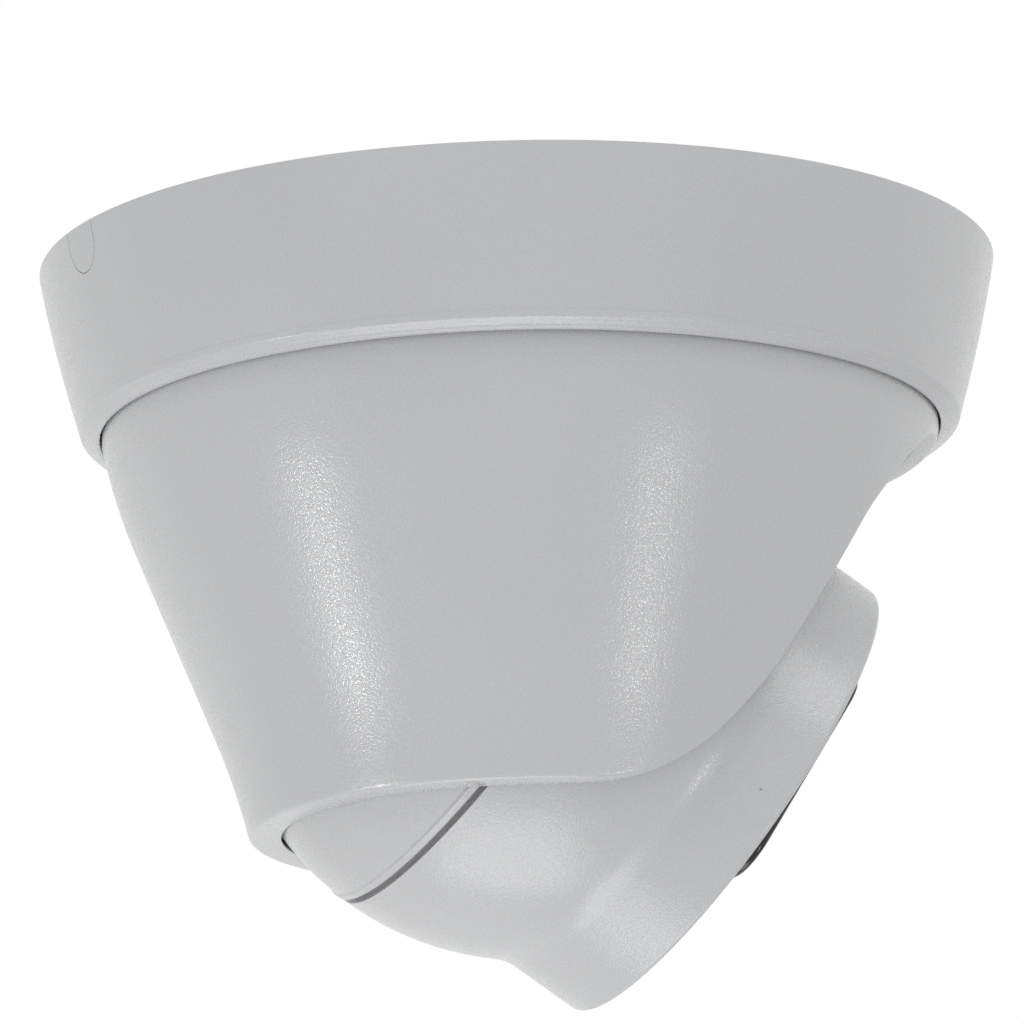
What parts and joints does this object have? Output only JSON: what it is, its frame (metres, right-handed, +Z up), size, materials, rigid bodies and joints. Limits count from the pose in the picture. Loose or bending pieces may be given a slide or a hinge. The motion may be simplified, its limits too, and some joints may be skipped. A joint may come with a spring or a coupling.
{
  "type": "turret security camera",
  "caption": "Ceiling turret security camera: tapered base ring, panning conical cradle with arched front slot, tilting and rolling ball with round snout and dark window.",
  "frame": {"origin": "centre of the flat face that rests on the ceiling", "axes": "+Z up, out of the ceiling face; the lens looks towards -Y; +X is to the right seen from behind the camera with +Z up"},
  "size_m": [0.1533, 0.1532, 0.119],
  "materials": {
    "housing_paint": "fine textured light grey powder coat",
    "bare_aluminium": "bare die-cast and stamped aluminium",
    "rubber": "black rubber",
    "steel": "zinc-plated steel",
    "brass": "turned brass",
    "glide_plastic": "white glide plastic",
    "black_gloss": "black gloss plastic",
    "black_matte": "matte black plastic",
    "window_glass": "smoked clear cover",
    "lens_glass": "coated optical glass",
    "circuit_board": "green solder mask",
    "emitter": "encapsulated emitter"
  },
  "bodies": {
    "base": {"mounting_plate": "bare_aluminium", "cable_grommet": "rubber", "base_housing": "housing_paint", "base_gasket": "rubber", "knockout_plug": "housing_paint", "base_lock_screw": "steel", "pan_glide_ring": "glide_plastic", "pan_retaining_ring": "steel"},
    "pan_cradle": {"cradle": "housing_paint", "pivot_pin_left": "steel", "pivot_pin_right": "steel"},
    "tilt_arm": {"tilt_yoke": "steel", "roll_hub": "steel", "roll_nut": "steel", "friction_washer_left": "steel", "friction_washer_right": "steel"},
    "ball": {"ball_rear_shell": "housing_paint", "ball_front_shell": "housing_paint", "seam_gasket": "rubber", "window_frame": "black_gloss", "window_gasket": "rubber", "window_glass": "window_glass", "window_mask": "black_matte", "lens_mount": "black_matte", "lens_barrel": "black_matte", "lens_front_element": "lens_glass", "lens_light_shield": "rubber", "sensor_board": "circuit_board", "image_sensor": "lens_glass", "infrared_board_right": "circuit_board", "infrared_emitter_right": "emitter", "infrared_optic_right": "lens_glass", "infrared_board_left": "circuit_board", "infrared_emitter_left": "emitter", "infrared_optic_left": "lens_glass", "chassis_plate": "bare_aluminium", "main_board": "circuit_board", "main_processor": "black_matte", "heat_sink": "bare_aluminium", "cable_socket": "black_matte", "shell_screw_1": "steel", "shell_screw_2": "steel", "shell_screw_3": "steel", "shell_screw_4": "steel", "board_standoff_1": "brass", "board_standoff_2": "brass", "board_standoff_3": "brass", "board_standoff_4": "brass", "board_screw_1": "steel", "board_screw_2": "steel", "board_screw_3": "steel", "board_screw_4": "steel", "chassis_screw_1": "steel", "chassis_screw_2": "steel", "chassis_screw_3": "steel", "chassis_screw_4": "steel"}
  },
  "joints": [
    {"name": "pan", "type": "hinge", "parent": "base", "child": "pan_cradle", "pos_m": [0, 0, -0.024], "axis": [0, 0, 1], "range_deg": [-177.5, 177.5]},
    {"name": "tilt", "type": "hinge", "parent": "pan_cradle", "child": "tilt_arm", "pos_m": [0, 0, -0.0634], "axis": [1, 0, 0], "range_deg": [-32.7, 42.3]},
    {"name": "roll", "type": "hinge", "parent": "tilt_arm", "child": "ball", "pos_m": [0, 0, -0.0634], "axis": [0, -0.8415, -0.5402], "range_deg": [-177.5, 177.5]}
  ]
}
